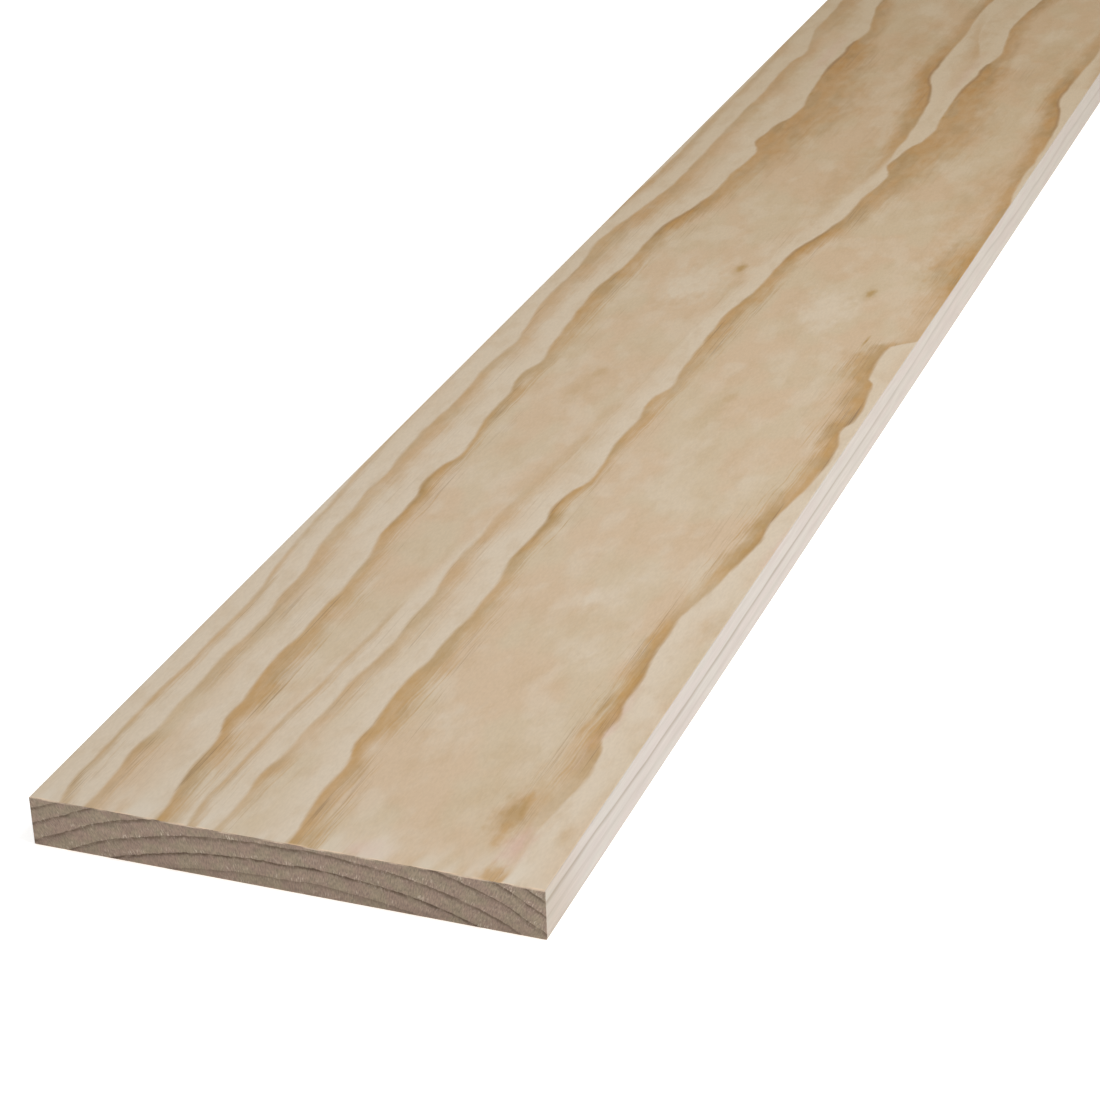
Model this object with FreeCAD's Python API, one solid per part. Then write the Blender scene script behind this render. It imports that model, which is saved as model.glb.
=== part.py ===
import FreeCAD, Part
import os

# A dressed softwood board: one length of solid pine, planed on both faces and both edges and sawn square at
# each end. It is a single piece of timber with nothing joined to it, so the model has one node.
#
# Frame: millimetres, +Z up. The board lies flat on its underside. X runs across the width, Y runs along the
# length, which is the way of the grain, and Z runs through the thickness. The origin is the centre of the
# underside.

# Driving dimensions.
LENGTH = 1200.0  # along the grain, between the sawn ends
WIDTH = 190.0  # across the grain, between the planed edges
THICKNESS = 19.0  # between the planed faces
LONG_ARRIS_RADIUS = 0.4  # light sanding along the long corners
END_ARRIS_CHAMFER = 0.15  # the fibre that breaks off the rim of a saw cut

PARTS_FOLDER = "parts"
ALONG_GRAIN = FreeCAD.Vector(0, 1, 0)
TOLERANCE = 1e-6


def planed_stick():
    """The whole section at its whole length, with square corners, lying on Z = 0."""
    corner = FreeCAD.Vector(-WIDTH / 2, -LENGTH / 2, 0)
    return Part.makeBox(WIDTH, LENGTH, THICKNESS, corner)


def runs_along_grain(edge):
    """Whether a straight edge is parallel to the board's length."""
    start, end = (vertex.Point for vertex in edge.Vertexes)
    return (end - start).normalize().cross(ALONG_GRAIN).Length < TOLERANCE


def lies_on_a_sawn_end(edge):
    """Whether the whole edge is in the plane of one of the two ends."""
    box = edge.BoundBox
    distance_from_end = abs(abs(box.YMin) - LENGTH / 2)
    return box.YLength < TOLERANCE and distance_from_end < TOLERANCE


def ease_long_arrises(stick):
    """Rounds the corners that run along the grain, as light sanding leaves them."""
    return stick.makeFillet(LONG_ARRIS_RADIUS, [edge for edge in stick.Edges if runs_along_grain(edge)])


def break_end_arrises(stick):
    """Takes the sharp rim off each sawn end, all the way round the section."""
    return stick.makeChamfer(END_ARRIS_CHAMFER, [edge for edge in stick.Edges if lies_on_a_sawn_end(edge)])


def write_node(name, shape):
    """Writes one sub-part as a STEP file, after a test that it is one valid solid."""
    if not shape.isValid() or len(shape.Solids) != 1:
        raise ValueError(f"{name} is not one valid solid")
    solid = shape.Solids[0]
    solid.exportStep(os.path.join(PARTS_FOLDER, f"{name}.step"))
    print(f"{name}: {solid.Volume / 1000:.1f} cubic centimetres, {len(solid.Faces)} faces")


os.makedirs(PARTS_FOLDER, exist_ok=True)
board = break_end_arrises(ease_long_arrises(planed_stick()))
write_node("board", board)
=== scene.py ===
# %% [markdown]
# # A planed pine board
# This lesson finishes one length of softwood: a flat-sawn pine board, 190 mm wide and 19 mm thick, planed
# on its faces and edges and sawn square at both ends. Its shape is almost nothing, so the looks are in
# the wood: where the growth rings come to each surface, how the surface was cut, and how sharp the
# corners were left.
#
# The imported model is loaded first. It is the frame that everything else is measured from.

# %% Load the frame
import math

import bmesh
import bpy
from mathutils import Euler, Matrix, Vector, noise


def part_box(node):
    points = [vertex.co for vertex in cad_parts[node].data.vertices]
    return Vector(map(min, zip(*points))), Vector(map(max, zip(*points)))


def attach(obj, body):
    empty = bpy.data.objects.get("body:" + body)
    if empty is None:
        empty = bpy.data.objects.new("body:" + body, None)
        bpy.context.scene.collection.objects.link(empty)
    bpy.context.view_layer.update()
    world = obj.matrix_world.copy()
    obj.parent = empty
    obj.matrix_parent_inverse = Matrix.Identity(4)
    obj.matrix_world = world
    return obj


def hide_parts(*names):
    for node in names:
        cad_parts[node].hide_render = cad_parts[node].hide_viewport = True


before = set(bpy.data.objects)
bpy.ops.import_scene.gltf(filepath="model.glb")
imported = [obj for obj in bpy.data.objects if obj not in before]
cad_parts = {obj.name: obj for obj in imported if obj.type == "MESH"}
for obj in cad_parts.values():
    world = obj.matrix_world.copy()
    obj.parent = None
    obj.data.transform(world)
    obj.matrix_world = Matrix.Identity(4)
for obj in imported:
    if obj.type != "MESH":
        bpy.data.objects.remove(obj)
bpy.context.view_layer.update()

low, high = (Vector(corner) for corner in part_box("board"))
size = high - low
print("board in millimetres:", [round(1000 * side, 1) for side in size])

# %% [markdown]
# Wood is measured in millimetres, and Blender works in metres, so one named number turns one into the
# other. Positions on the board are given the way a joiner would mark them: so far across from the left
# edge, so far along from the near end, and so high above the underside.

# %% Measures
MM = 0.001
WIDTH = size.x / MM
LENGTH = size.y / MM
THICKNESS = size.z / MM
print("width, length, thickness:", round(WIDTH), round(LENGTH), round(THICKNESS))

# %% [markdown]
# Colours are written as the hex values that a paint program shows. Blender calculates with linear light,
# so one function converts them. Another adds a shader node, sets it up and feeds its inputs, because a
# wood material has many nodes and each would otherwise take four lines. A last one starts a node group,
# which is a set of nodes that can be used again as if it were one.

# %% Helpers for colours and nodes
def linear(hex_colour):
    """Turns an sRGB hex value, such as '#cdb696', into the linear colour that a shader needs."""
    channels = [int(hex_colour[start:start + 2], 16) / 255 for start in (1, 3, 5)]
    curved = [c / 12.92 if c <= 0.04045 else ((c + 0.055) / 1.055) ** 2.4 for c in channels]
    return (*curved, 1.0)


def feed(tree, socket, value):
    """Feeds an input: links it to an output or to a node's first output, or sets it to a plain value."""
    if isinstance(value, bpy.types.Node):
        value = value.outputs[0]
    if isinstance(value, bpy.types.NodeSocket):
        tree.links.new(value, socket)
    else:
        socket.default_value = value


def add_node(tree, kind, inputs=None, **settings):
    """Adds a node with its settings. `inputs` says what feeds each input, by the input's name or number."""
    node = tree.nodes.new(kind)
    for name, value in settings.items():
        setattr(node, name, value)
    for key, value in (inputs or {}).items():
        feed(tree, node.inputs[key], value)
    return node


def new_group(name, inputs, outputs):
    """Starts a node group with number sockets, and returns the group, its inputs and its output node."""
    group = bpy.data.node_groups.new(name, "ShaderNodeTree")
    for socket in inputs:
        group.interface.new_socket(socket, in_out="INPUT", socket_type="NodeSocketFloat")
    for socket in outputs:
        group.interface.new_socket(socket, in_out="OUTPUT", socket_type="NodeSocketFloat")
    return group, add_node(group, "NodeGroupInput").outputs, add_node(group, "NodeGroupOutput")


print("middle grey in linear light:", round(linear("#808080")[0], 3))

# %% [markdown]
# ## Where the growth rings come to the upper face
# Each year a pine grows pale, soft earlywood first and then a band of brown, dense latewood. The brown
# darkens slowly and stops dead where winter began, so every ring has one soft side and one sharp side. A
# flat-sawn board cuts the rings at a low angle, which spreads each band into a wide flame along the face.
#
# A noise texture could draw flames of this kind, but the wood would not look like one real board. Here
# the sharp side of each ring is drawn instead, as a joiner might trace it: how far across it is
# (mm from the left edge) at each distance along (mm from the near end). Two more short lists say how wide
# the brown is and how dark. The first three rings have their sharp side to the left. The fourth and the
# fifth are on the other side of the log's heart, so their sharp side is to the right. The fifth is only a
# wisp: it has no brown for most of the length, where its line waits out of the way at 170 mm across.

# %% The rings, traced
SPAN_ALONG = 1260.0  # the curves run this far, a little more than the board
SPAN_ACROSS = 200.0  # the across values lie between START_ACROSS and this far above it
START_ACROSS = -20.0
SPAN_BAND = 40.0  # no brown band is wider than this

outer_ring = {
    "sharp_side": "left",
    "trace": [(0, 12), (12, 9.6), (40, 8.5), (75, 8), (100, 9), (135, 9.5), (165, 9), (180, 6.6),
              (200, 4.8), (240, 3), (275, 1.2), (330, -1), (420, -2.5), (560, -3), (625, 0), (660, 2.4),
              (760, 1.6), (850, 2), (900, -1), (1000, -5), (1240, -5)],
    "band": [(0, 5), (60, 4), (150, 3.5), (240, 3), (600, 4), (660, 6), (800, 5), (1240, 5)],
    "dark": [(0, 0.45), (60, 0.55), (140, 0.5), (200, 0.45), (300, 0.35), (660, 0.5), (800, 0.35),
             (1240, 0.3)],
}
second_ring = {
    "sharp_side": "left",
    "trace": [(0, 21.5), (20, 21.2), (40, 19.7), (55, 20.6), (75, 19.5), (95, 20), (110, 18.8),
              (130, 20.2), (165, 19.1), (180, 18.5), (200, 15.7), (215, 14.2), (245, 14), (262, 12.6),
              (276, 13.5), (295, 12.1), (330, 12), (350, 13), (398, 11.7), (420, 13.5), (440, 12),
              (460, 9.5), (475, 8.3), (515, 9), (555, 6.3), (572, 7.4), (600, 11), (622, 13.2),
              (642, 15.7), (670, 16), (700, 15.2), (770, 15.1), (800, 15.6), (842, 14.4), (860, 15),
              (876, 18), (890, 16), (906, 13), (922, 10.5), (955, 10.6), (990, 9.4), (1060, 12), (1130, 9),
              (1240, 11)],
    "band": [(0, 6), (40, 7), (60, 6), (110, 9), (160, 10), (250, 9), (330, 9), (420, 8), (480, 11),
             (600, 14), (640, 13), (700, 9), (760, 9), (860, 11), (900, 8), (940, 17), (1000, 14),
             (1240, 10)],
    "dark": [(0, 0.35), (25, 0.4), (41, 0.66), (52, 0.3), (66, 0.25), (85, 0.38), (110, 0.48), (150, 0.43),
             (240, 0.42), (330, 0.5), (400, 0.48), (440, 0.4), (500, 0.5), (560, 0.55), (605, 0.64),
             (640, 0.6), (700, 0.42), (780, 0.5), (860, 0.55), (895, 0.35), (940, 0.5), (1240, 0.45)],
}
third_ring = {
    "sharp_side": "left",
    "trace": [(0, 48.5), (10, 48), (20, 46.5), (40, 45), (54, 45), (61, 43.3), (69, 41), (81, 41),
              (95, 40), (118, 38.3), (135, 39.6), (150, 38.8), (170, 39.5), (186, 39), (201, 38),
              (212, 36), (225, 34.5), (246, 34.8), (260, 34), (269, 32.5), (281, 32.3), (290, 33.3),
              (300, 36), (312, 36.3), (330, 33.5), (350, 32.3), (366, 32.8), (380, 30.4), (391, 30.3),
              (408, 33.3), (421, 31.5), (440, 29.5), (480, 27.5), (500, 27.3), (515, 29), (540, 30),
              (582, 30), (592, 31.9), (605, 35), (621, 37.6), (640, 39.8), (671, 40), (700, 42), (710, 40),
              (720, 36.6), (735, 38), (750, 39), (758, 42), (770, 44), (786, 44), (801, 42.5), (816, 40.5),
              (840, 39), (862, 38), (886, 39.4), (904, 38.5), (913, 41), (926, 42), (941, 39.5),
              (960, 36.5), (976, 34), (992, 33), (1050, 36), (1100, 38), (1160, 34), (1240, 37)],
    "band": [(0, 14), (14, 13), (24, 11), (60, 9), (95, 13), (130, 12), (170, 10), (200, 8), (230, 7),
             (280, 7), (306, 4), (330, 6), (365, 7), (392, 10), (408, 8), (450, 13), (500, 12), (550, 10),
             (590, 11), (625, 13), (660, 19), (700, 27), (740, 37), (790, 39), (830, 34), (862, 27),
             (900, 21), (925, 12), (960, 13), (1000, 10), (1060, 16), (1240, 12)],
    "dark": [(0, 0.76), (12, 0.72), (22, 0.68), (60, 0.77), (95, 0.78), (130, 0.72), (170, 0.62),
             (205, 0.58), (225, 0.8), (250, 0.86), (285, 0.85), (305, 0.7), (350, 0.74), (390, 0.62),
             (410, 0.58), (450, 0.66), (500, 0.8), (550, 0.78), (590, 1), (625, 0.88), (660, 0.72),
             (700, 0.78), (740, 0.86), (785, 0.75), (830, 0.82), (865, 1.0), (902, 1), (915, 0.7),
             (960, 0.75), (1000, 0.85), (1240, 0.8)],
}
far_side_ring = {
    "sharp_side": "right",
    "trace": [(0, 126), (15, 126.5), (31, 125), (51, 125.8), (67, 127.1), (84, 126.2), (95, 123.9),
              (103, 121.6), (115, 122.7), (123, 120.9), (144, 120.2), (159, 118.2), (175, 117.1),
              (195, 116.4), (205, 118.1), (221, 120.1), (252, 122.7), (267, 124.2), (277, 122.8),
              (293, 122.7), (308, 124.4), (324, 126.4), (344, 126.7), (360, 126.2), (372, 123.7),
              (380, 121.9), (390, 124.1), (406, 123.9), (421, 121.5), (431, 120.7), (437, 116.3),
              (452, 114.2), (467, 113.6), (475, 113.9), (481, 117.9), (488, 124.9), (514, 131), (575, 128),
              (630, 123), (657, 120), (678, 117.5), (700, 114.8), (722, 113.4), (745, 113.2), (765, 112.9),
              (781, 112), (800, 110.2), (820, 107.8), (832, 105), (842, 101.6), (855, 99.4), (875, 98.8),
              (905, 99), (930, 99.4), (952, 98.4), (976, 97.6), (1050, 101), (1120, 97), (1240, 100)],
    "band": [(0, 7), (10, 6), (26, 8), (38, 13), (54, 15), (84, 14), (100, 10), (130, 10), (150, 10),
             (190, 8), (212, 9), (250, 11), (275, 11), (308, 10), (345, 12), (400, 14), (425, 16),
             (460, 13), (480, 10), (500, 15), (545, 21), (585, 24), (612, 19), (640, 13), (668, 11),
             (700, 11), (760, 14), (800, 16), (842, 14), (880, 15), (930, 12), (1000, 10), (1240, 11)],
    "dark": [(0, 0.7), (8, 0.35), (13, 0.15), (26, 0.15), (40, 0.35), (50, 0.4), (66, 0.5), (88, 0.72),
             (103, 0.82), (150, 0.9), (190, 0.75), (208, 0.5), (240, 0.82), (275, 0.88), (308, 0.74),
             (345, 0.84), (400, 0.85), (430, 0.82), (460, 0.86), (474, 0.8), (486, 0.45), (497, 0.3),
             (520, 0.55), (545, 0.8), (585, 1), (612, 0.78), (640, 0.74), (668, 0.82), (695, 0.74),
             (722, 0.76), (760, 0.78), (800, 0.9), (842, 1), (870, 0.95), (905, 0.8), (952, 0.6),
             (1000, 0.8), (1240, 0.7)],
}
wisp = {
    "sharp_side": "right",
    "trace": [(0, 170), (820, 170), (864, 122), (884, 119.5), (912, 113.5), (940, 107), (980, 103),
              (1240, 100)],
    "band": [(0, 5), (860, 5), (900, 8), (940, 7), (1240, 5)],
    "dark": [(0, 0), (850, 0), (875, 0.4), (925, 0.42), (965, 0.15), (1000, 0), (1240, 0)],
}
RINGS = {"outer": outer_ring, "second": second_ring, "third": third_ring, "far side": far_side_ring,
         "wisp": wisp}
print("points traced by hand:", {name: len(ring["trace"]) for name, ring in RINGS.items()})

# %% [markdown]
# An RGB Curves node holds three curves, which is just what one ring needs: red for the place, green for
# the width of the brown, and blue for how dark it is. The same distance along the board goes into all
# three. Where only one curve is needed, a Float Curve node does the same. Both kinds of curve run from 0
# to 1, so the drawn points are scaled to that on the way in, and the answer is scaled back.

# %% Curves from drawn points
def fill_curve(curve, points, start, end, lowest, highest):
    """Puts drawn points on a curve. They lie from `start` to `end`, and from `lowest` to `highest`."""
    for number, (at, height) in enumerate(points):
        place = ((at - start) / (end - start), (height - lowest) / (highest - lowest))
        if number < 2:
            curve.points[number].location = place
        else:
            curve.points.new(*place)


def ring_curves(tree, along_share, ring):
    """Returns the three outputs that give a ring's place, band and darkness, each as a share of its span."""
    same_thrice = add_node(tree, "ShaderNodeCombineColor", {0: along_share, 1: along_share, 2: along_share})
    node = add_node(tree, "ShaderNodeRGBCurve", {"Color": same_thrice})
    spans = [("trace", START_ACROSS, START_ACROSS + SPAN_ACROSS), ("band", 0.0, SPAN_BAND),
             ("dark", 0.0, 1.0)]
    for curve, (name, lowest, highest) in zip(node.mapping.curves, spans):
        fill_curve(curve, ring[name], 0.0, SPAN_ALONG, lowest, highest)
    node.mapping.update()
    return add_node(tree, "ShaderNodeSeparateColor", {"Color": node.outputs["Color"]}).outputs


def drawn_curve(tree, value, points, lowest, highest):
    """Reads one drawn curve at a value. Its points lie between `lowest` and `highest`."""
    start, end = points[0][0], points[-1][0]
    share = add_node(tree, "ShaderNodeMapRange", {"Value": value, "From Min": start, "From Max": end})
    curve = add_node(tree, "ShaderNodeFloatCurve", {"Value": share})
    fill_curve(curve.mapping.curves[0], points, start, end, lowest, highest)
    curve.mapping.update()
    return add_node(tree, "ShaderNodeMath", {0: curve, 1: highest - lowest, 2: lowest},
                    operation="MULTIPLY_ADD")


print("points that the rings' bands and darkness add:",
      sum(len(ring["band"]) + len(ring["dark"]) for ring in RINGS.values()))

# %% [markdown]
# One ring becomes four patterns. `brown` is strongest beside the sharp side and fades out over the band,
# and a noise stretched along the grain shifts where it fades, so that the band frays into fibres. `line`
# is the thin dark rim of the darkest stretches. `cream` is the palest wood, just past the sharp side,
# where the next spring's growth starts. `fibres` is a wider zone where thin resin lines are allowed to
# show.

# %% Patterns of one ring
SHARP_SIDE_BLUR = 1.1  # mm over which brown turns to cream
FADE_START = 0.15  # in bands from the sharp side
FADE_END = 1.15
FULL_BROWN = 0.9  # how much of the latewood's colour the darkest band takes
LINE_WIDTH = 2.6
LINE_FULL_AT = 0.5  # mm from the sharp side
LINE_LEAST_DARK = 0.78  # a paler stretch gets no line
LINE_STRENGTH = 0.42
CREAM_REACH = 20.0
CREAM_FULL_AT = 1.5
FIBRE_REACH = 2.4  # how many bands wide the zone of resin lines is


def overlap(tree, patterns):
    """Keeps what all the patterns share: where one of them is 0, so is the result."""
    shared = patterns[0]
    for pattern in patterns[1:]:
        shared = add_node(tree, "ShaderNodeMath", {0: shared, 1: pattern}, operation="MULTIPLY")
    return shared


def ring_patterns(tree, across, along_share, fray, blotch, ring):
    """Draws one ring, and returns its brown, line, cream and fibres patterns."""
    place, band, dark = ring_curves(tree, along_share, ring)[:3]
    edge = add_node(tree, "ShaderNodeMath", {0: place, 1: SPAN_ACROSS, 2: START_ACROSS},
                    operation="MULTIPLY_ADD")
    order = {0: across, 1: edge} if ring["sharp_side"] == "left" else {0: edge, 1: across}
    inward = add_node(tree, "ShaderNodeMath", order, operation="SUBTRACT")
    width = add_node(tree, "ShaderNodeMath", {0: band, 1: SPAN_BAND}, operation="MULTIPLY")
    depth = add_node(tree, "ShaderNodeMath", {0: inward, 1: width}, operation="DIVIDE")
    frayed = add_node(tree, "ShaderNodeMath", {0: fray, 1: depth, 2: depth}, operation="MULTIPLY_ADD")
    uneven = add_node(tree, "ShaderNodeMath", {0: blotch, 1: frayed}, operation="ADD")
    inside = add_node(tree, "ShaderNodeMapRange", {"Value": inward, "From Min": -SHARP_SIDE_BLUR,
                      "From Max": SHARP_SIDE_BLUR}, interpolation_type="SMOOTHSTEP")
    fade = add_node(tree, "ShaderNodeMapRange", {"Value": uneven, "From Min": FADE_START,
                    "From Max": FADE_END, "To Min": FULL_BROWN, "To Max": 0.0},
                    interpolation_type="SMOOTHSTEP")
    strength = overlap(tree, [inside, dark])
    rim = add_node(tree, "ShaderNodeMapRange", {"Value": inward, "From Min": LINE_WIDTH,
                   "From Max": LINE_FULL_AT}, interpolation_type="SMOOTHSTEP")
    darkest = add_node(tree, "ShaderNodeMapRange", {"Value": dark, "From Min": LINE_LEAST_DARK,
                       "From Max": 1.0, "To Max": LINE_STRENGTH})
    outside = add_node(tree, "ShaderNodeMapRange", {"Value": inward, "From Min": -CREAM_REACH,
                       "From Max": -CREAM_FULL_AT}, interpolation_type="SMOOTHSTEP")
    cream = add_node(tree, "ShaderNodeMath", {0: outside, 1: inside}, operation="SUBTRACT",
                     use_clamp=True)
    zone = add_node(tree, "ShaderNodeMapRange", {"Value": depth, "From Min": 0.0, "From Max": FIBRE_REACH,
                    "To Min": 1.0, "To Max": 0.0})
    brown = overlap(tree, [fade, strength])
    line = overlap(tree, [rim, inside, darkest])
    fibres = overlap(tree, [zone, strength])
    return brown, line, cream, fibres


print("the widest brown band in mm:", max(width for ring in RINGS.values() for at, width in ring["band"]))

# %% [markdown]
# Pin knots are where a needle or a thin twig once grew. Each is a small soft oval, longer along the
# grain. The paler clouds and the browner and pinker patches that any planed face shows are ovals too,
# only larger and fainter. A rough noise is added to each oval's distance, or it would look like a spot
# seen out of focus.

# %% Knots and clouds
# Each oval is (mm along, mm across, half its length, half its width, strength).
PIN_KNOTS = [(538.5, 85, 13, 4.4, 0.4), (539, 85.1, 10, 3.6, 0.8), (400, 62.5, 12, 5.5, 0.3),
             (384, 61, 36, 8, 0.2), (805, 42.8, 4, 1.2, 0.9), (281, 121, 5, 1.8, 0.3),
             (481, 101.8, 8, 1.1, 0.9)]
BROWN_PATCHES = [(42, 113.5, 25, 9.5, 0.7), (48, 118, 36, 12, 0.3), (3, 121, 12, 7, 0.6),
                 (680, 98, 95, 15, 0.25), (458, 106, 18, 9, 0.6), (60, 99, 50, 9, 0.12),
                 (930, 17, 24, 7, 0.35), (590, 110, 50, 13, 0.5), (925, 109, 60, 6, 0.25),
                 (190, 131, 18, 7, 0.25), (34, 134.5, 10, 4.5, 0.25), (905, 72, 80, 20, 0.2)]
PINK_PATCHES = [(23, 122, 18, 7, 0.8), (110, 121, 40, 5, 0.5), (5, 76, 9, 12, 0.5), (262, 134, 26, 6, 0.5),
                (880, 32, 60, 6, 0.35)]
CREAM_CLOUDS = [(516, 71, 38, 19, 1.0), (505, 68, 20, 9, 1.0), (778, 28, 34, 9, 0.9),
                (975, 66, 26, 15, 0.6), (87, 71, 28, 13, 0.5), (202, 82, 20, 14, 0.6),
                (152, 98, 13, 9, 0.5), (228, 93, 24, 10, 0.4), (12, 80, 20, 26, 0.45),
                (563, 91, 16, 9, 0.4), (340, 96, 26, 12, 0.35)]
OVAL_RIM = 1.0  # where an oval starts, as a share of its half size
OVAL_FULL_AT = 0.1


def soft_oval(tree, place, rough, oval):
    """A soft oval that is strongest in its middle."""
    middle_along, middle_across, half_length, half_width, strength = oval
    offset = add_node(tree, "ShaderNodeVectorMath", {0: place, 1: (middle_across, middle_along, 0)},
                      operation="SUBTRACT")
    scaled = add_node(tree, "ShaderNodeVectorMath", {0: offset, 1: (1 / half_width, 1 / half_length, 0)},
                      operation="MULTIPLY")
    distance = add_node(tree, "ShaderNodeVectorMath", {0: scaled}, operation="LENGTH").outputs["Value"]
    broken = add_node(tree, "ShaderNodeMath", {0: distance, 1: rough}, operation="ADD")
    return add_node(tree, "ShaderNodeMapRange", {"Value": broken, "From Min": OVAL_RIM,
                    "From Max": OVAL_FULL_AT, "To Max": strength}, interpolation_type="SMOOTHSTEP")


def strongest(tree, patterns):
    """Lays patterns over one another and keeps the strongest."""
    top = patterns[0]
    for pattern in patterns[1:]:
        top = add_node(tree, "ShaderNodeMath", {0: top, 1: pattern}, operation="MAXIMUM")
    return top


print("knots, patches and clouds:", len(PIN_KNOTS + BROWN_PATCHES + PINK_PATCHES + CREAM_CLOUDS))

# %% [markdown]
# The rings, the knots and the clouds make one figure. It goes in a node group, so that it can be used
# more than once. A slight wiggle is added to the place before the rings are drawn, because wood fibres
# soften any line that is drawn across them. All the noises come from one function that stretches a noise
# to a grain in millimetres, as wood's own patterns are much longer along the board than across it.

# %% The figure as a node group
WIGGLES = [(12.0, 22.0, 0.4), (1.3, 12.0, 0.16)]  # (mm across, mm along, mm of movement)
FRAY_GRAIN = (0.7, 70.0)  # mm across and along
FRAY = 0.36  # how far fibres shift the soft side, in bands
BLOTCH_GRAIN = (5.0, 15.0)
BLOTCH = 0.14
MOTTLE_GRAIN = (4.0, 10.0)
MOTTLE = 0.13  # how much the brown changes in strength within a band
ROUGH_GRAIN = (3.5, 9.0)
ROUGHNESS_OF_OVALS = 0.2
CRISP_UNTIL = 350.0  # mm along; from here the fibres slowly grow fainter
FAINT_FROM = 750.0
FAINT_FIBRES = 0.35
NOISE_LOW = 0.28  # nearly all of a noise lies between these two values
NOISE_HIGH = 0.72
FIGURE_PATTERNS = ["brown", "line", "cream", "fibres", "knots", "pink"]


def stretched_noise(tree, place, grain, detail=2.0, dimensions="3D"):
    """Noise whose grains are about `grain` millimetres in size across, along and up."""
    scaled = add_node(tree, "ShaderNodeVectorMath", {0: place, 1: [1 / step for step in grain]},
                      operation="MULTIPLY")
    return add_node(tree, "ShaderNodeTexNoise", {"Vector": scaled, "Scale": 1.0, "Detail": detail},
                    noise_dimensions=dimensions)


def swing(tree, place, grain, reach, detail=2.0):
    """A flat noise that swings to about `reach` either side of zero."""
    wave = stretched_noise(tree, place, (*grain, 1.0), detail, "2D")
    return add_node(tree, "ShaderNodeMapRange", {"Value": wave, "From Min": NOISE_LOW,
                    "From Max": NOISE_HIGH, "To Min": -reach, "To Max": reach}, clamp=False)


def wiggled(tree, across, along):
    """Moves the across value a little."""
    place = add_node(tree, "ShaderNodeCombineXYZ", {"X": across, "Y": along})
    for wide, long, reach in WIGGLES:
        step = swing(tree, place, (wide, long), reach, 1.0)
        across = add_node(tree, "ShaderNodeMath", {0: across, 1: step}, operation="ADD")
    return across


def make_figure():
    """The node group that draws one whole figure from a place in millimetres."""
    tree, inputs, output = new_group("figure of the rings", ["across", "along"], FIGURE_PATTERNS)
    along = inputs["along"]
    across = wiggled(tree, inputs["across"], along)
    place = add_node(tree, "ShaderNodeCombineXYZ", {"X": across, "Y": along})
    along_share = add_node(tree, "ShaderNodeMath", {0: along, 1: SPAN_ALONG}, operation="DIVIDE")
    crispness = add_node(tree, "ShaderNodeMapRange", {"Value": along, "From Min": CRISP_UNTIL,
                         "From Max": FAINT_FROM, "To Min": 1.0, "To Max": FAINT_FIBRES})
    fray = overlap(tree, [swing(tree, place, FRAY_GRAIN, FRAY), crispness])
    blotch = swing(tree, place, BLOTCH_GRAIN, BLOTCH)
    rough = swing(tree, place, ROUGH_GRAIN, ROUGHNESS_OF_OVALS)
    mottle = swing(tree, place, MOTTLE_GRAIN, MOTTLE)
    rings = [ring_patterns(tree, across, along_share, fray, blotch, ring) for ring in RINGS.values()]
    brown, line, cream, fibres = (strongest(tree, kind) for kind in zip(*rings))
    knots, patches, clouds, pink = ([soft_oval(tree, place, rough, oval) for oval in ovals]
                                    for ovals in (PIN_KNOTS, BROWN_PATCHES, CREAM_CLOUDS, PINK_PATCHES))
    brown = strongest(tree, [brown, *patches])
    brown = add_node(tree, "ShaderNodeMath", {0: brown, 1: mottle, 2: brown}, operation="MULTIPLY_ADD")
    drawn = {"brown": brown, "line": line, "cream": strongest(tree, [cream, *clouds]),
             "fibres": overlap(tree, [fibres, crispness]), "knots": strongest(tree, knots),
             "pink": strongest(tree, pink)}
    for name, pattern in drawn.items():
        feed(tree, output.inputs[name], pattern)
    return tree


figure = make_figure()
print("nodes in the figure:", len(figure.nodes))

# %% [markdown]
# A pine stem is rarely a true round. This one had a shallow groove along it, so the same rings rise to
# the sawn face twice, side by side, and the second rise looks like the first moved over and drawn out a
# little. The figure group is therefore used twice. Where the second one takes over is another drawn
# curve.

# %% Two rises of the same rings
SECOND_START = 49.0  # mm across, at the near end
SECOND_DRIFT = 0.0451  # mm further across for each mm along
SECOND_SQUEEZE = 0.00009  # narrower by this share for each mm along
SECOND_STRETCH = 1.027  # its features come this much sooner
TAKEOVER = [(0, 56), (130, 63), (200, 69), (290, 77), (400, 84), (540, 91), (620, 103), (700, 112.5),
            (760, 117), (850, 116), (1000, 116), (1240, 116)]  # mm along, mm across
TAKEOVER_BLUR = 4.0


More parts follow.
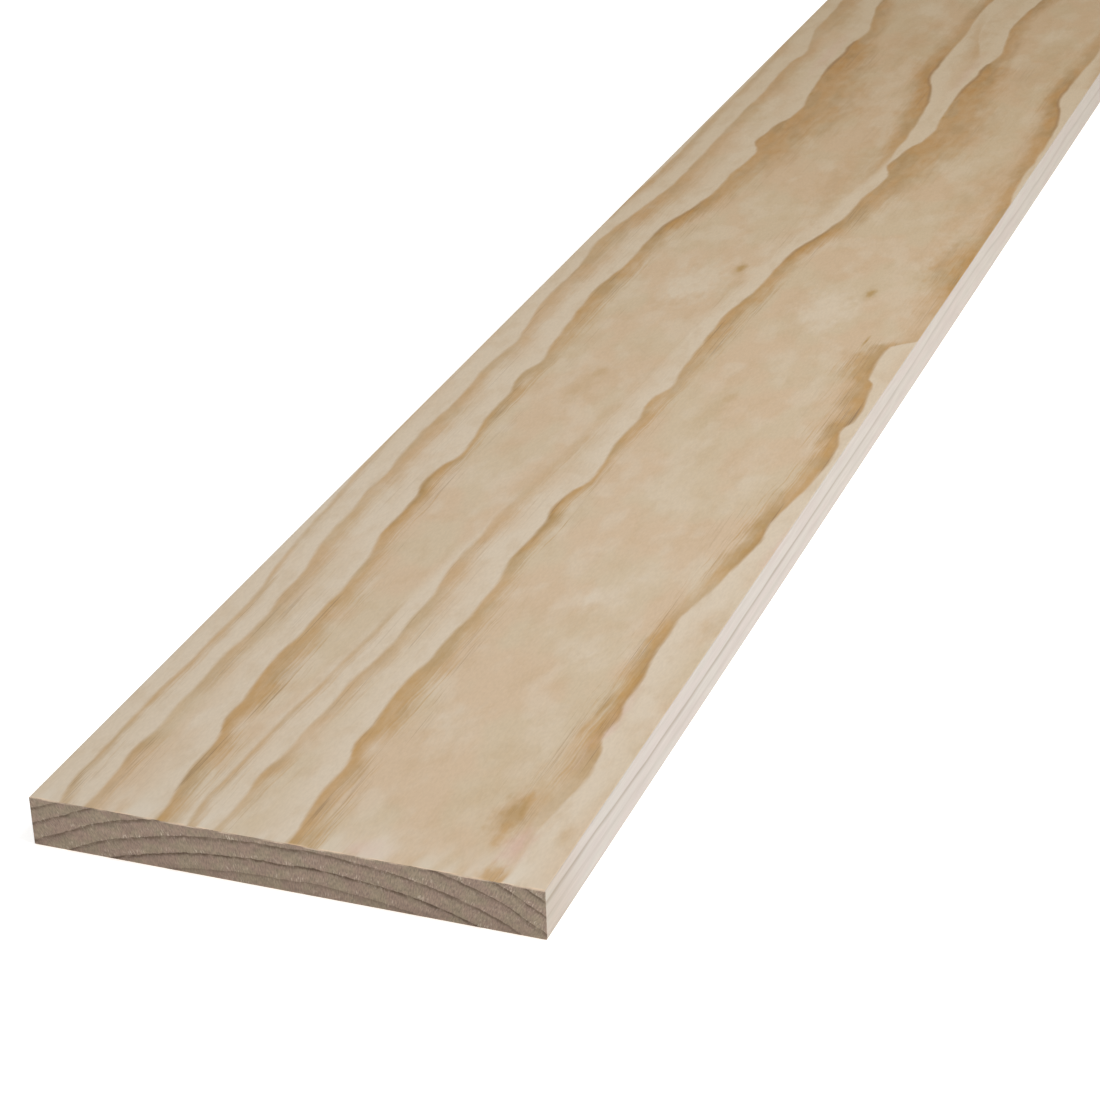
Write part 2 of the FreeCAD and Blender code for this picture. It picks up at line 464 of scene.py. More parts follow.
def make_upper_face():
    """The node group that lays the figure on the upper face twice."""
    tree, inputs, output = new_group("rings on the upper face", ["across", "along"], FIGURE_PATTERNS)
    across, along = inputs["across"], inputs["along"]
    start = add_node(tree, "ShaderNodeMath", {0: along, 1: SECOND_DRIFT, 2: SECOND_START},
                     operation="MULTIPLY_ADD")
    squeeze = add_node(tree, "ShaderNodeMath", {0: along, 1: -SECOND_SQUEEZE, 2: 1.0},
                       operation="MULTIPLY_ADD")
    offset = add_node(tree, "ShaderNodeMath", {0: across, 1: start}, operation="SUBTRACT")
    second_across = add_node(tree, "ShaderNodeMath", {0: offset, 1: squeeze}, operation="DIVIDE")
    second_along = add_node(tree, "ShaderNodeMath", {0: along, 1: SECOND_STRETCH},
                            operation="MULTIPLY")
    first = add_node(tree, "ShaderNodeGroup", node_tree=figure)
    second = add_node(tree, "ShaderNodeGroup", node_tree=figure)
    for node, places in ((first, (across, along)), (second, (second_across, second_along))):
        for number, place in enumerate(places):
            feed(tree, node.inputs[number], place)
    seam = drawn_curve(tree, along, TAKEOVER, 0.0, SPAN_ACROSS)
    past = add_node(tree, "ShaderNodeMath", {0: across, 1: seam}, operation="SUBTRACT")
    which = add_node(tree, "ShaderNodeMapRange", {"Value": past, "From Min": -TAKEOVER_BLUR,
                     "From Max": TAKEOVER_BLUR}, interpolation_type="SMOOTHSTEP")
    for name in FIGURE_PATTERNS:
        both = {"Factor": which, 2: first.outputs[name], 3: second.outputs[name]}
        feed(tree, output.inputs[name], add_node(tree, "ShaderNodeMix", both))
    return tree


upper_face_rings = make_upper_face()
print("nodes that lay the figure twice:", len(upper_face_rings.nodes))

# %% [markdown]
# ## The same rings inside the board
# The ends, the edges and the underside cut the log's rings where they lie in space, so they are worked
# out as real rings: arcs about the heart of the log, which was 182 mm below the board's underside. Their
# radii are uneven, because years are. One curve says how the log differs from a true round across the
# board, and another how it swells and tapers along it. The heart, the middle six radii and the first curve
# were fitted to points read off the arcs of a sawn end, and then rounded and nudged. The second curve was
# drawn.
#
# A Float Curve with straight runs turns a radius into a count of years. The part after the point, the
# phase, then says how far through its year the wood is: 0 is pale spring wood, and 1 is the dark line of
# winter.

# %% Rings in space
HEART_ACROSS = 97.0
HEART_DEPTH = 182.0
WINTERS = [(170.0, 0.6), (176.5, 0.8), (182.6, 0.7), (187.8, 0.25), (193.9, 1.0), (200.5, 0.7),
           (207.3, 0.72), (213.4, 0.75), (218.6, 0.7), (224.0, 0.6), (229.0, 0.7),
           (234.0, 0.6)]  # radius in mm, and darkness
OUT_OF_ROUND = [(0, -0.6), (12, -0.1), (26, -0.7), (42, -0.1), (58, 0.1), (72, 0.7), (88, 1.0), (96, 1.3),
                (106, 0.5), (120, 0.4), (135, -0.3), (150, -0.9), (174, -1.1), (184, 0.3), (200, 1.2)]
SWELL = [(0, 0), (35, 0.4), (70, 1.6), (120, 2.8), (180, 3.3), (240, 2.8), (320, 3), (400, 3.2),
         (480, 2.2), (550, 1), (600, 1.6), (650, 3.4), (720, 4.2), (800, 3.2), (900, 4.6), (1050, 5.8),
         (1240, 7)]
MOST_OUT_OF_ROUND = 4  # mm either way
SWELL_RANGE = (-2, 8)
FIBRE_WAVE = 0.6  # mm that single fibres can shift a ring either way
WAVE_GRAIN = (2.5, 30, 2.5)


def make_rings_in_space():
    """The node group that gives the phase of the year, and the place round and out from the heart."""
    tree, inputs, output = new_group("rings in space", ["across", "along", "height"],
                                     ["phase", "dark", "round", "out"])
    sideways = add_node(tree, "ShaderNodeMath", {0: inputs["across"], 1: HEART_ACROSS},
                        operation="SUBTRACT")
    upwards = add_node(tree, "ShaderNodeMath", {0: inputs["height"], 1: HEART_DEPTH}, operation="ADD")
    both = add_node(tree, "ShaderNodeCombineXYZ", {"X": sideways, "Y": upwards})
    out = add_node(tree, "ShaderNodeVectorMath", {0: both}, operation="LENGTH").outputs["Value"]
    turn = add_node(tree, "ShaderNodeMath", {0: sideways, 1: upwards}, operation="ARCTAN2")
    around = add_node(tree, "ShaderNodeMath", {0: turn, 1: HEART_DEPTH}, operation="MULTIPLY")
    place = add_node(tree, "ShaderNodeCombineXYZ", {"X": inputs["across"], "Y": inputs["along"],
                     "Z": inputs["height"]})
    wave = stretched_noise(tree, place, WAVE_GRAIN, 3.0)
    moved = add_node(tree, "ShaderNodeMath", {0: wave, 1: 2 * FIBRE_WAVE, 2: -FIBRE_WAVE},
                     operation="MULTIPLY_ADD")
    shape = drawn_curve(tree, inputs["across"], OUT_OF_ROUND, -MOST_OUT_OF_ROUND, MOST_OUT_OF_ROUND)
    swell = drawn_curve(tree, inputs["along"], SWELL, *SWELL_RANGE)
    for change in (moved, shape, swell):
        out = add_node(tree, "ShaderNodeMath", {0: out, 1: change}, operation="ADD")
    first, last = WINTERS[0][0], WINTERS[-1][0]
    share = add_node(tree, "ShaderNodeMapRange", {"Value": out, "From Min": first, "From Max": last})
    years = add_node(tree, "ShaderNodeFloatCurve", {"Value": share})
    for year, (radius, _) in enumerate(WINTERS[1:-1], 1):
        point = years.mapping.curves[0].points.new((radius - first) / (last - first),
                                                   year / (len(WINTERS) - 1))
        point.handle_type = "VECTOR"
    years.mapping.update()
    count = add_node(tree, "ShaderNodeMath", {0: years, 1: len(WINTERS) - 1},
                     operation="MULTIPLY")
    phase = add_node(tree, "ShaderNodeMath", {0: count}, operation="FRACT")
    found = {"phase": phase, "dark": drawn_curve(tree, out, WINTERS, 0, 1), "round": around, "out": out}
    for name, value in found.items():
        feed(tree, output.inputs[name], value)
    return tree


rings_in_space = make_rings_in_space()
print("rings between the heart side and the bark side:", len(WINTERS))

# %% [markdown]
# Every material starts from the same three numbers: millimetres across, along and up. Object coordinates
# give metres from the object's origin, so a Mapping node scales them and moves zero to the near left
# corner. Every material is then built in the same order: patterns, paint laid over paint where the
# patterns say, and a fine relief. The relief is only a bump, at most a tenth of a millimetre deep, and too
# fine for the mesh to carry.

# %% Places, patterns and paint
PINE_IOR = 1.5
TONE_LOW = 0.3  # the noise values that give a toned colour its darkest and lightest
TONE_HIGH = 0.7


def new_material(name):
    """An empty material, its tree, the place on the board in millimetres, and that place's three axes."""
    material = bpy.data.materials.new(name)
    material.use_nodes = True
    tree = material.node_tree
    tree.nodes.clear()
    place = add_node(tree, "ShaderNodeTexCoord").outputs["Object"]
    scaled = add_node(tree, "ShaderNodeMapping", {"Vector": place, "Location": -low / MM,
                      "Scale": (1 / MM, 1 / MM, 1 / MM)}, vector_type="POINT")
    axes = add_node(tree, "ShaderNodeSeparateXYZ", {0: scaled}).outputs
    return material, tree, scaled, axes


def rings_at(tree, group, axes):
    """Adds a group of rings and gives it the place on the board. Returns the group's outputs."""
    rings = add_node(tree, "ShaderNodeGroup", node_tree=group)
    for place, socket in zip(axes, rings.inputs):
        feed(tree, socket, place)
    return rings.outputs


def scattered(tree, place, grain, start, end, strength=1.0, detail=2.0):
    """Scattered soft patches: none where a stretched noise is below `start`, and full above `end`."""
    wave = stretched_noise(tree, place, grain, detail)
    return add_node(tree, "ShaderNodeMapRange", {"Value": wave, "From Min": start, "From Max": end,
                    "To Max": strength}, interpolation_type="SMOOTHSTEP")


def painted(tree, colour, coats, blend_type="MIX"):
    """Lays paints over a colour, one (pattern, paint) after another. A paint is a hex value or an output."""
    for pattern, paint in coats:
        below, above = (linear(layer) if isinstance(layer, str) else layer for layer in (colour, paint))
        colour = add_node(tree, "ShaderNodeMix", {0: pattern, 6: below, 7: above}, data_type="RGBA",
                          blend_type=blend_type).outputs[2]
    return colour


def toned(tree, colour, wave, darkest, lightest):
    """Darkens and lightens a colour by a noise."""
    tone = add_node(tree, "ShaderNodeMapRange", {"Value": wave, "From Min": TONE_LOW, "From Max": TONE_HIGH,
                    "To Min": darkest, "To Max": lightest})
    return add_node(tree, "ShaderNodeVectorMath", {0: colour, "Scale": tone}, operation="SCALE")


def cover(tree, colour, roughness, wave, relief, strength):
    """Ends a material with its surface. The noise gives it a relief of that many millimetres."""
    bump = add_node(tree, "ShaderNodeBump", {"Strength": strength, "Distance": relief * MM, "Height": wave})
    surface = add_node(tree, "ShaderNodeBsdfPrincipled", {"Base Color": colour, "Roughness": roughness,
                       "IOR": PINE_IOR, "Normal": bump})
    add_node(tree, "ShaderNodeOutputMaterial", {"Surface": surface})


print("one millimetre is", MM, "of Blender's units")

# %% [markdown]
# ## Finish 1: flat-sawn pine, planed and bare
# A sharp planer leaves pine smooth but not shiny, so it is rough to light (0.5 to 0.6) with a common wood
# IOR of about 1.5. The eye reads it from its colours: tan wood with slow pink and green-grey clouds,
# cream beside each ring, brown latewood that turns from olive to orange, and thin dark resin streaks.
# Fibres are really about 0.03 mm wide; the finest streaks here are drawn coarser, at 0.5 mm, so that they
# can be seen at arm's length.
#
# Near the two ends the wood has dried paler, and in the last millimetre the saw has lifted a fringe of
# fibres that the light warms, painted in as a warm highlight. The colour also turns a little darker and
# warmer from the near end to the far end: partly a warmer tone, partly painted shade of the lamp's falloff.

# %% The planed face
WARM_TAN = "#c6ae91"
COOL_TAN = "#c4b195"
CREAM = "#ccbca6"
BROWN_OLIVE = "#a48045"
BROWN_ORANGE = "#b08543"
MOTTLED_BROWN = "#b2946a"
STREAK = "#7f6446"
KNOT = "#a68445"
PINK = "#cbac9c"
DRY = "#d3cabb"
DRY_REACH = 24.0  # mm from an end
# Painted highlight: the saw's fringe of fibres at each end, paler and warmer where light catches it.
FRINGE_HIGHLIGHT = "#f0cfae"
FRINGE_HIGHLIGHT_REACH = 1.3
# Painted shade and a warmer tone, multiplied in towards the far end where the lamp's light falls off.
FAR_TINT_AND_SHADE = "#f8efdc"  # multiplied in fully at the far end
FAR_SHADE_FROM = 0.2  # shares of the length
FAR_SHADE_FULL_AT = 0.85
PLANED_ROUGHNESS = (0.6, 0.5)  # earlywood, latewood
PLANED_RELIEF = 0.03  # mm


def planed_colour(tree, place, patterns):
    """The colour of a planed face, from its patterns."""
    brown, line, cream, fibres, knots, pink = patterns
    hairs = scattered(tree, place, (0.5, 60, 0.5), 0.56, 0.72, detail=1)
    groups = scattered(tree, place, (7, 60, 7), 0.46, 0.62, detail=1)
    streaks = overlap(tree, [hairs, groups, fibres])
    patches = scattered(tree, place, (15, 30, 15), 0.5, 0.66, 0.5)
    pale = add_node(tree, "ShaderNodeMath", {0: cream, 1: patches}, operation="ADD", use_clamp=True)
    clouds = scattered(tree, place, (24, 46, 24), 0.42, 0.6)
    mottles = scattered(tree, place, (7, 17, 7), 0.47, 0.7, 0.18, detail=3)
    hue = scattered(tree, place, (9, 30, 9), 0.36, 0.56, detail=1)
    latewood = painted(tree, BROWN_OLIVE, [(hue, BROWN_ORANGE)])
    coats = [(clouds, COOL_TAN), (pale, CREAM), (pink, PINK), (mottles, MOTTLED_BROWN), (brown, latewood),
             (line, STREAK), (streaks, STREAK), (knots, KNOT)]
    return painted(tree, WARM_TAN, coats)


def near_end(tree, axes, reach):
    """A soft strip along both ends: full at the end, and gone `reach` mm from it."""
    from_end = add_node(tree, "ShaderNodeMath", {0: axes[1], 1: LENGTH / 2}, operation="PINGPONG")
    return add_node(tree, "ShaderNodeMapRange", {"Value": from_end, "From Min": reach, "From Max": 0.0},
                    interpolation_type="SMOOTHSTEP")


def warmed_and_shaded(tree, colour, axes, tint):
    """Multiplies `tint` in towards the far end: painted shade of the lamp's falloff, and a warmer tone."""
    far = add_node(tree, "ShaderNodeMapRange", {"Value": axes[1], "From Min": FAR_SHADE_FROM * LENGTH,
                   "From Max": FAR_SHADE_FULL_AT * LENGTH})
    return painted(tree, colour, [(far, tint)], "MULTIPLY")


def make_planed_face(name, find_patterns):
    """A planed face. `find_patterns` is a function that returns the face's patterns."""
    material, tree, place, axes = new_material(name)
    patterns = find_patterns(tree, axes)
    brown = patterns[0]
    wave = stretched_noise(tree, place, (0.8, 2.6, 0.8), 3)
    colour = toned(tree, planed_colour(tree, place, patterns), wave, 0.96, 1.04)
    dry = scattered(tree, place, (9, 30, 9), 0.38, 0.62, 0.42)
    dry = add_node(tree, "ShaderNodeMath", {0: dry, 1: brown}, operation="SUBTRACT", use_clamp=True)
    # Painted highlight along the last millimetre of each end, where the fringe of fibres catches the light.
    fringe_highlight = scattered(tree, place, (8, 9, 9), 0.4, 0.62, 0.6)
    colour = painted(tree, colour, [(overlap(tree, [near_end(tree, axes, DRY_REACH), dry]), DRY),
                                    (overlap(tree, [near_end(tree, axes, FRINGE_HIGHLIGHT_REACH), fringe_highlight]), FRINGE_HIGHLIGHT)])
    early, late = PLANED_ROUGHNESS
    gloss = add_node(tree, "ShaderNodeMapRange", {"Value": brown, "To Min": early, "To Max": late})
    cover(tree, warmed_and_shaded(tree, colour, axes, FAR_TINT_AND_SHADE), gloss, wave, PLANED_RELIEF, 0.5)
    return material


def traced_patterns(tree, axes):
    """Patterns of the upper face, from the traced rings."""
    return list(rings_at(tree, upper_face_rings, axes[:2]))


def winter_line(tree, phase, start, full, turn):
    """Latewood as a pattern: it rises from `start` to `full` in a year, and falls from `turn` to the end."""
    sides = [add_node(tree, "ShaderNodeMapRange", {"Value": phase, "From Min": empty, "From Max": whole},
                      interpolation_type="SMOOTHSTEP") for empty, whole in ((start, full), (1.0, turn))]
    return overlap(tree, sides)


def cut_patterns(tree, axes):
    """Patterns of any face, from where it cuts the rings in space. It gets no knots and no dark rims."""
    phase, dark = rings_at(tree, rings_in_space, axes)[:2]
    brown = overlap(tree, [winter_line(tree, phase, 0.5, 0.97, 0.97), dark])
    cream = add_node(tree, "ShaderNodeMapRange", {"Value": phase, "From Min": 0.35, "From Max": 0.0,
                     "To Max": 0.8})
    fibres = add_node(tree, "ShaderNodeMapRange", {"Value": phase, "From Min": 0.2, "From Max": 1.0,
                      "To Max": 0.8})
    return [brown, 0.0, cream, fibres, 0.0, 0.0]


planed_upper = make_planed_face("flat-sawn pine, planed, upper face", traced_patterns)
planed_under = make_planed_face("flat-sawn pine, planed, underside", cut_patterns)
print("nodes in the upper face:", len(planed_upper.node_tree.nodes))

# %% [markdown]
# ## Finish 2: the planed edge
# An edge of a flat-sawn board cuts the rings steeply, so they are narrow, straight and faint. This edge
# is sapwood, close to the bark, and sapwood is much paler than the rest: nearly white, with a breath of
# pink. Only one ring shows here as a clear line, so a drawn curve says how strong a line is at each
# distance from the heart. The edge is a little darker and warmer towards its near end. It is
# planed too, but it is rougher to light than the faces, because soft sapwood doesn't polish.

# %% The planed edge
SAPWOOD = "#b5ada4"
SAPWOOD_PINK = "#b5aaa2"
SAPWOOD_LINE = "#978b7d"
EDGE_LINES = [(200, 0.25), (213.5, 0.25), (216.5, 0.85), (219.5, 0.85), (221.5, 0.15), (234, 0.15)]
LINE_FADES_FROM = 280.0  # mm along
LINE_FADED_AT = 480.0
FADED_LINE = 0.5
# Multiplied in towards the near end of the edge, which turns a little darker and warmer there.
NEAR_END_DARKENING = "#f6f2e9"
NEAR_END_DARKENING_REACH = 45.0
# Painted shade and a warmer tone for the edge, multiplied in towards the far end.
SAPWOOD_FAR_TINT_AND_SHADE = "#f8f4ec"
EDGE_ROUGHNESS = 0.62


def make_planed_edge():
    """Quarter-sawn sapwood, planed."""
    material, tree, place, axes = new_material("pine sapwood edge, planed")
    rings = rings_at(tree, rings_in_space, axes)
    clouds = scattered(tree, place, (8, 40, 5), 0.4, 0.6)
    clearness = drawn_curve(tree, rings["out"], EDGE_LINES, 0, 1)
    fading = add_node(tree, "ShaderNodeMapRange", {"Value": axes[1], "From Min": LINE_FADES_FROM,
                      "From Max": LINE_FADED_AT, "To Min": 1.0, "To Max": FADED_LINE})
    line = overlap(tree, [winter_line(tree, rings["phase"], 0.5, 0.9, 0.9), clearness, fading])
    colour = painted(tree, SAPWOOD, [(clouds, SAPWOOD_PINK), (line, SAPWOOD_LINE)])
    near_end_darkening = add_node(tree, "ShaderNodeMapRange", {"Value": axes[1], "From Min": NEAR_END_DARKENING_REACH,
                       "From Max": 0.0}, interpolation_type="SMOOTHSTEP")
    colour = painted(tree, colour, [(near_end_darkening, NEAR_END_DARKENING)], "MULTIPLY")
    wave = stretched_noise(tree, place, (0.6, 18, 0.6), 3)
    colour = warmed_and_shaded(tree, toned(tree, colour, wave, 0.93, 1.045), axes, SAPWOOD_FAR_TINT_AND_SHADE)
    cover(tree, colour, EDGE_ROUGHNESS, wave, PLANED_RELIEF, 0.5)
    return material


planed_edge = make_planed_edge()
print("nodes in the edge:", len(planed_edge.node_tree.nodes))

# %% [markdown]
# ## Finish 3: end grain, sawn
# A saw cut across the grain opens every fibre like the end of a drinking straw. Light goes in and doesn't
# come out, so end grain looks much darker and greyer than the face of the same board, and almost fully
# matt. The rings show as thin dark arcs with a soft side towards the heart, and loose fibres catch the
# light as short pale strokes that point to the heart. Along the upper rim the saw lifts a thin fringe of
# fibres, and light shines through it in a warm line.

# %% The sawn ends
END_BROWN = "#927d6e"
END_OLIVE = "#90816d"
END_DARK = "#5b493b"
END_STROKE = "#ccbcaa"
# Painted highlight: a warm line along the upper rim of each end, for light shining through the saw's fringe.
RIM_FIBRE_HIGHLIGHT = "#ecd3b8"
RIM_HIGHLIGHT_HEIGHT = 0.6  # mm from the upper face down to where the fringe ends
RIM_HIGHLIGHT_FULL_AT = 0.3  # as a share of that
END_ROUGHNESS = 0.9
END_RELIEF = 0.1


def make_end_grain():
    """End grain of pine, sawn and left."""
    material, tree, place, axes = new_material("pine end grain, sawn")
    rings = rings_at(tree, rings_in_space, axes)
    phase = rings["phase"]
    polar = add_node(tree, "ShaderNodeCombineXYZ", {"X": rings["round"], "Y": rings["out"],
                     "Z": axes[1]})
    clouds = scattered(tree, place, (7, 20, 6), 0.4, 0.62, detail=3)
    soft = add_node(tree, "ShaderNodeMapRange", {"Value": phase, "From Min": 0.45, "To Max": 0.3},
                    interpolation_type="SMOOTHSTEP")
    broken = scattered(tree, polar, (4, 1.5, 20), 0.3, 0.56, detail=3)
    line = overlap(tree, [winter_line(tree, phase, 0.75, 0.94, 0.96), broken, rings["dark"]])
    colour = painted(tree, END_BROWN, [(clouds, END_OLIVE), (soft, END_DARK), (line, END_DARK)])
    pores = stretched_noise(tree, polar, (0.45, 1.6, 3), 3)
    colour = toned(tree, colour, pores, 0.77, 1.23)
    colour = toned(tree, colour, stretched_noise(tree, place, (5, 20, 3), 3), 0.9, 1.1)
    spring = add_node(tree, "ShaderNodeMapRange", {"Value": phase, "From Min": 0.5, "From Max": 0.05,
                      "To Min": 0.25, "To Max": 0.85})
    strokes = scattered(tree, polar, (0.45, 2.0, 3), 0.53, 0.68)
    groups = scattered(tree, place, (9, 20, 4), 0.42, 0.62)
    # Painted highlight along the upper rim, where the lifted fringe of fibres lets light through.
    rim = add_node(tree, "ShaderNodeMapRange", {"Value": axes[2], "From Min": THICKNESS - RIM_HIGHLIGHT_HEIGHT,
                   "From Max": THICKNESS - RIM_HIGHLIGHT_FULL_AT * RIM_HIGHLIGHT_HEIGHT}, interpolation_type="SMOOTHSTEP")
    lifted_highlight = scattered(tree, place, (13, 9, 9), 0.4, 0.6, 0.65)
    colour = painted(tree, colour, [(overlap(tree, [strokes, groups, spring]), END_STROKE),
                                    (overlap(tree, [rim, lifted_highlight]), RIM_FIBRE_HIGHLIGHT)])
    cover(tree, colour, END_ROUGHNESS, pores, END_RELIEF, 0.7)
    return material


end_grain = make_end_grain()
FINISHES = [planed_upper, planed_under, planed_edge, end_grain]
UPPER, UNDER, EDGE, END = range(len(FINISHES))
print("finishes:", [finish.name for finish in FINISHES])

# %% [markdown]
# ## The board itself
# A cube is scaled to the board, and its long corners are eased with a bevel, as sanding would. The rims
# of the two saw cuts get a smaller bevel, because nobody sands them. Then the board is cut into a grid,
# fine across it and near its ends and wide along its middle, so that the saw cuts and their rims have
# enough vertices to be rough.

# %% Cut and ease the board
ARRIS = 0.4 * MM  # radius of the eased long corners
RIM = 0.15 * MM
END_ZONE = 7.0 * MM  # the stretch at each end that gets close cuts
GRID = 0.5 * MM
MIDDLE_CUTS = 13
TOUCHING = 1e-6  # nearer than this counts as on a plane
STRAIGHT = 0.999  # an edge runs along an axis if this share of its length does


def edges_along(bm, axis, least=1.0 * MM):
    """The edges that run along an axis and are longer than `least`."""
    found = []
    for edge in bm.edges:
        run = edge.verts[1].co - edge.verts[0].co
        if run.length > least and abs(run[axis]) > STRAIGHT * run.length:
            found.append(edge)
    return found


def ease(bm, edges, radius, segments):
    """Rounds edges over."""
    bmesh.ops.bevel(bm, geom=edges, offset=radius, segments=segments, profile=0.5, affect="EDGES",
                    material=-1, clamp_overlap=True)


def cut_up(bm, edges, cuts):
    """Cuts edges into shorter ones, and joins the cuts across the faces."""
    bmesh.ops.subdivide_edges(bm, edges=edges, cuts=cuts, use_grid_fill=True)


def cut_board():
    """The board's shape with its cuts, before any wear."""
    bm = bmesh.new()
    bmesh.ops.create_cube(bm, size=1.0)
    bmesh.ops.scale(bm, vec=size, verts=bm.verts)
    bmesh.ops.translate(bm, vec=(low + high) / 2, verts=bm.verts)
    ease(bm, edges_along(bm, 1), ARRIS, 3)
    rims = [e for e in bm.edges if abs(abs(e.verts[0].co.y + e.verts[1].co.y) - size.y) < TOUCHING]
    ease(bm, rims, RIM, 2)
    for side in (-1, 1):
        everything = [*bm.verts, *bm.edges, *bm.faces]
        plane = (0, side * (size.y / 2 - END_ZONE), 0)
        bmesh.ops.bisect_plane(bm, geom=everything, dist=TOUCHING, plane_co=plane, plane_no=(0, 1, 0))
    long_runs = edges_along(bm, 1)
    middle = [e for e in long_runs if e.calc_length() > 2 * END_ZONE]
    short = [e for e in long_runs if e.calc_length() <= 2 * END_ZONE]
    cut_up(bm, middle, MIDDLE_CUTS)
    cut_up(bm, short, round(END_ZONE / GRID) - 1)
    for axis in (0, 2):
        cut_up(bm, edges_along(bm, axis, size[axis] / 2), round(size[axis] / GRID) - 1)
    return bm


board_bm = cut_board()
print("faces after cutting:", len(board_bm.faces))

# %% [markdown]
# The saw's roughness is real shape, not only shading. Each vertex of an end is pushed into the board by
# up to 0.17 mm: fibres give short upright ridges, and the blade's teeth give a long slow wave. On the
# upper rims a few fibres have broken off. All the movement is inwards, so the board never grows past its
# frame.

# %% Wear the ends
FIBRE_DEPTH = 0.11 * MM
RIDGE = (0.9 * MM, 2.2 * MM)  # about how wide and how tall a fibre ridge is
SAW_DEPTH = 0.06 * MM
SAW_STEP = 9 * MM
SAW_DRIFT = 14 * MM  # over this height the saw's wave wanders sideways
CHIP_DEPTH = 0.1 * MM
CHIP_REACH = 1.6 * MM
CHIP_RUN = 3.2 * MM
CHIP_DETAIL = 0.8 * MM
CHIP_SELDOM = 0.25  # higher leaves fewer chips


def end_roughness(place):
    """How far in an end's surface is at a place: upright fibre ridges, and the slow wave of the saw."""
    fibres = noise.fractal(Vector((place.x / RIDGE[0], 0, place.z / RIDGE[1])), 0.8, 2.0, 3)
    wave = math.sin(place.x / SAW_STEP + 4 * noise.noise(Vector((0, place.z / SAW_DRIFT, 0))))
    return FIBRE_DEPTH * min(1.0, max(0.0, 0.5 + 0.7 * fibres)) + SAW_DEPTH * (0.5 + 0.5 * wave)


def chip_depth(place, side):
    """How much is broken off the upper rim of an end at a place, in metres."""
    seed = 31.0 if side > 0 else 0.0
    run = noise.noise(Vector((place.x / CHIP_RUN, seed, 0)))
    run += 0.5 * noise.noise(Vector((place.x / CHIP_DETAIL, seed, 5)))
    from_end = size.y / 2 - abs(place.y)
    from_top = high.z - place.z
    near = max(0.0, 1 - math.hypot(from_end, from_top) / CHIP_REACH)
    return CHIP_DEPTH * max(0.0, run - CHIP_SELDOM) * near


def wear_ends(bm):
    """Roughens both sawn ends and nibbles their upper rims. Returns the deepest push, in metres."""
    deepest = 0.0
    for vertex in bm.verts:
        side = 1 if vertex.co.y > 0 else -1
        from_end = size.y / 2 - abs(vertex.co.y)
        if from_end < CHIP_REACH:
            vertex.co.z -= chip_depth(vertex.co, side)
        if from_end < RIM / 2:
            push = end_roughness(vertex.co)
            deepest = max(deepest, push)
            vertex.co.y -= side * push
    return deepest


print("deepest part of the sawn ends in mm:", round(wear_ends(board_bm) / MM, 3))

# %% [markdown]
# Each face of the mesh gets its finish from the way it looks. A long corner is three narrow strips, and two
# of them go with the edge. The upper rim of an end is two narrow strips: the upper one goes with the upper
# face, because light fills its fibres. The other one, and every other rim, goes with the end grain.

# %% Give each face its finish
MOSTLY = 0.6  # a face belongs to a side if its normal points that way at least this much
LOWER_RIM = 0.2


def choose_finish(face):
    """The number of the finish that a face gets, from the way it looks."""
    across, along, up = face.normal
    if abs(along) > (MOSTLY if up > 0 else LOWER_RIM):
        return END
    if abs(across) > MOSTLY:
        return EDGE
    return UPPER if up > 0 else UNDER


def finish_mesh(bm, name):
    """Turns the bmesh into an object with its finishes."""
    bm.normal_update()
    for face in bm.faces:
        face.material_index = choose_finish(face)
        face.smooth = True
    mesh = bpy.data.meshes.new(name)
    bm.to_mesh(mesh)
    bm.free()
    for finish in FINISHES:
        mesh.materials.append(finish)
    piece = bpy.data.objects.new(name, mesh)
    bpy.context.scene.collection.objects.link(piece)
    return piece


board = finish_mesh(board_bm, "pine_board")
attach(board, "root")
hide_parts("board")
print("board faces:", len(board.data.polygons), "vertices:", len(board.data.vertices))

# %% [markdown]
# ## Floor, light and camera
# The floor is a sheet of matt white paper. It glows faintly, as on a light table, so that it stays white
# and even beside the board and holds only a trace of shadow. The light is a bright, even room with one
# large soft lamp out to the right, over against the near half. It lights the right edge most and leaves
# the near end in shade.

# %% Floor and light
FLOOR_SIZE = 30.0
FLOOR_GAP = 0.3 * MM
FLOOR_GLOW = 0.55
LAMP_PLACE = Vector((0.75, -0.36, 1.0))
LAMP_AIM = Vector((0, -0.3, 0))
LAMP_WIDTH = 0.9
LAMP_WATTS = 12.3
ROOM_BRIGHTNESS = 0.5


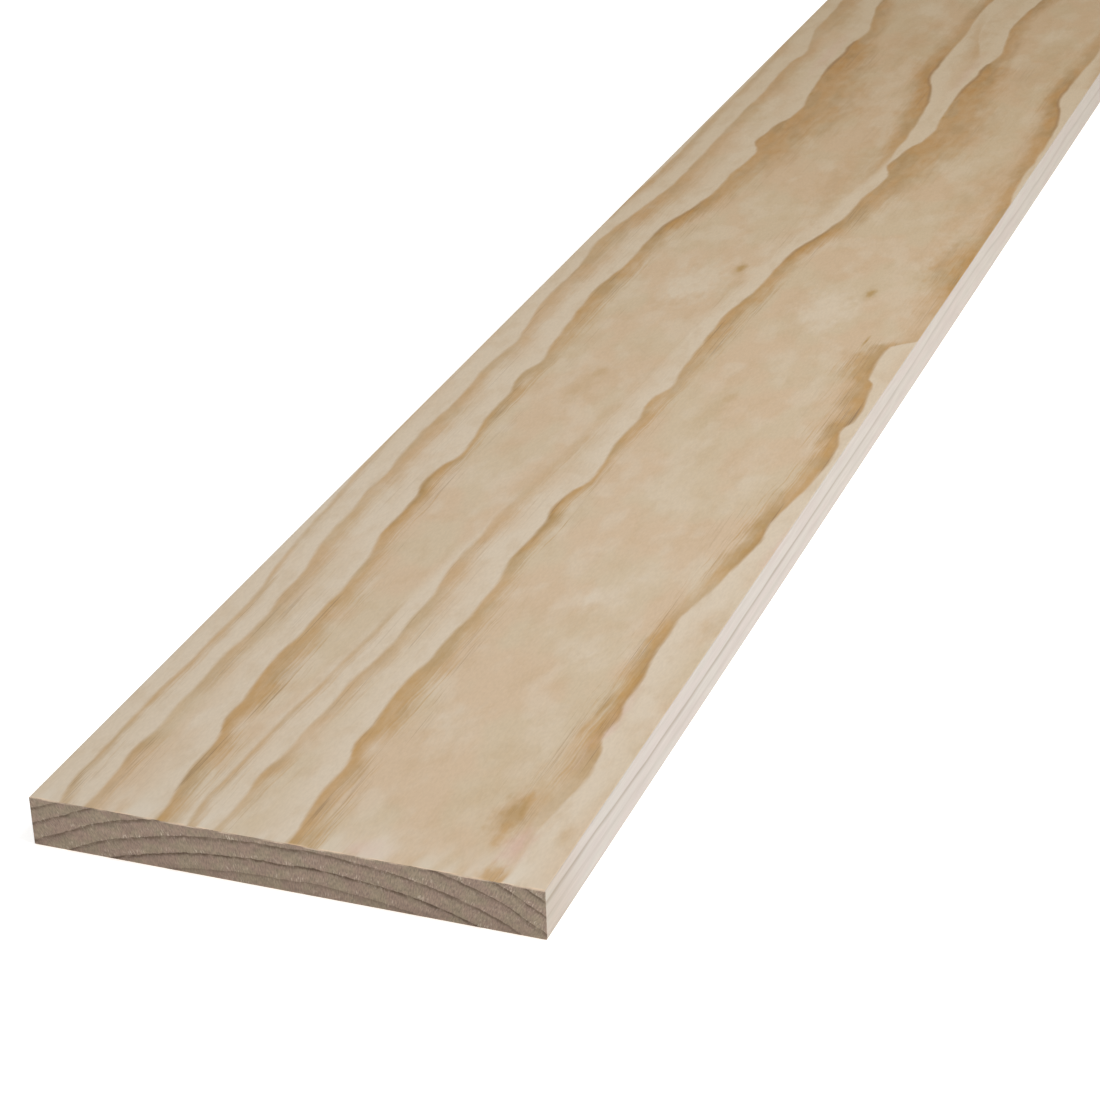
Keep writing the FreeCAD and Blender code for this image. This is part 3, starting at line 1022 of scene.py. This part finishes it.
def make_floor():
    """A large pale sheet just under the board."""
    bm = bmesh.new()
    bmesh.ops.create_grid(bm, x_segments=1, y_segments=1, size=FLOOR_SIZE / 2)
    bmesh.ops.translate(bm, vec=(0, 0, low.z - FLOOR_GAP), verts=bm.verts)
    mesh = bpy.data.meshes.new("floor")
    bm.to_mesh(mesh)
    bm.free()
    paper = bpy.data.materials.new("white paper, matt")
    paper.use_nodes = True
    surface = paper.node_tree.nodes["Principled BSDF"].inputs
    surface["Base Color"].default_value = linear("#f7f7f7")
    surface["Roughness"].default_value = 1.0
    surface["Specular IOR Level"].default_value = 0.0
    surface["Emission Color"].default_value = linear("#ffffff")
    surface["Emission Strength"].default_value = FLOOR_GLOW
    mesh.materials.append(paper)
    floor = bpy.data.objects.new("floor", mesh)
    bpy.context.scene.collection.objects.link(floor)


def make_lamp():
    """A square soft lamp out to the right of the board's near half."""
    light = bpy.data.lights.new("soft key", "AREA")
    light.shape = "SQUARE"
    light.size = LAMP_WIDTH
    light.energy = LAMP_WATTS
    lamp = bpy.data.objects.new("soft key", light)
    lamp.location = LAMP_PLACE
    lamp.rotation_euler = (LAMP_AIM - LAMP_PLACE).to_track_quat("-Z", "Y").to_euler()
    lamp.visible_camera = False
    bpy.context.scene.collection.objects.link(lamp)


def light_room():
    """The even light of a bright room."""
    world = bpy.data.worlds.new("bright room")
    bpy.context.scene.world = world
    world.use_nodes = True
    background = world.node_tree.nodes["Background"].inputs
    background["Color"].default_value = linear("#ffffff")
    background["Strength"].default_value = ROOM_BRIGHTNESS


make_floor()
make_lamp()
light_room()
bpy.context.scene.view_settings.view_transform = "Standard"
print("lamp in metres from the board's middle:", round(LAMP_PLACE.length, 2))

# %% [markdown]
# The camera looks down on the near end from the right, through a long lens, so the sides draw together
# gently. It is placed by what it aims at, how far off it is, and three angles.

# %% Camera
AIM = Vector((low.x + 0.1046, low.y + 0.2286, high.z))  # from the near left corner, on the upper face
DISTANCE = 1.1753
AZIMUTH = math.radians(21.818)
ELEVATION = math.radians(26.736)
ROLL = math.radians(-2.15)

camera_data = bpy.data.cameras.new("camera")
camera_data.lens = 97.29
camera_data.sensor_width = 36.0
camera_data.clip_start = 0.01
camera = bpy.data.objects.new("camera", camera_data)
turned = (Euler((0, 0, AZIMUTH)).to_matrix() @ Euler((math.pi / 2 - ELEVATION, 0, 0)).to_matrix()
          @ Euler((0, 0, ROLL)).to_matrix()).to_4x4()
camera.matrix_world = Matrix.Translation(AIM) @ turned @ Matrix.Translation((0, 0, DISTANCE))
bpy.context.scene.collection.objects.link(camera)
bpy.context.scene.camera = camera
print("camera at", [round(part, 4) for part in camera.matrix_world.translation])
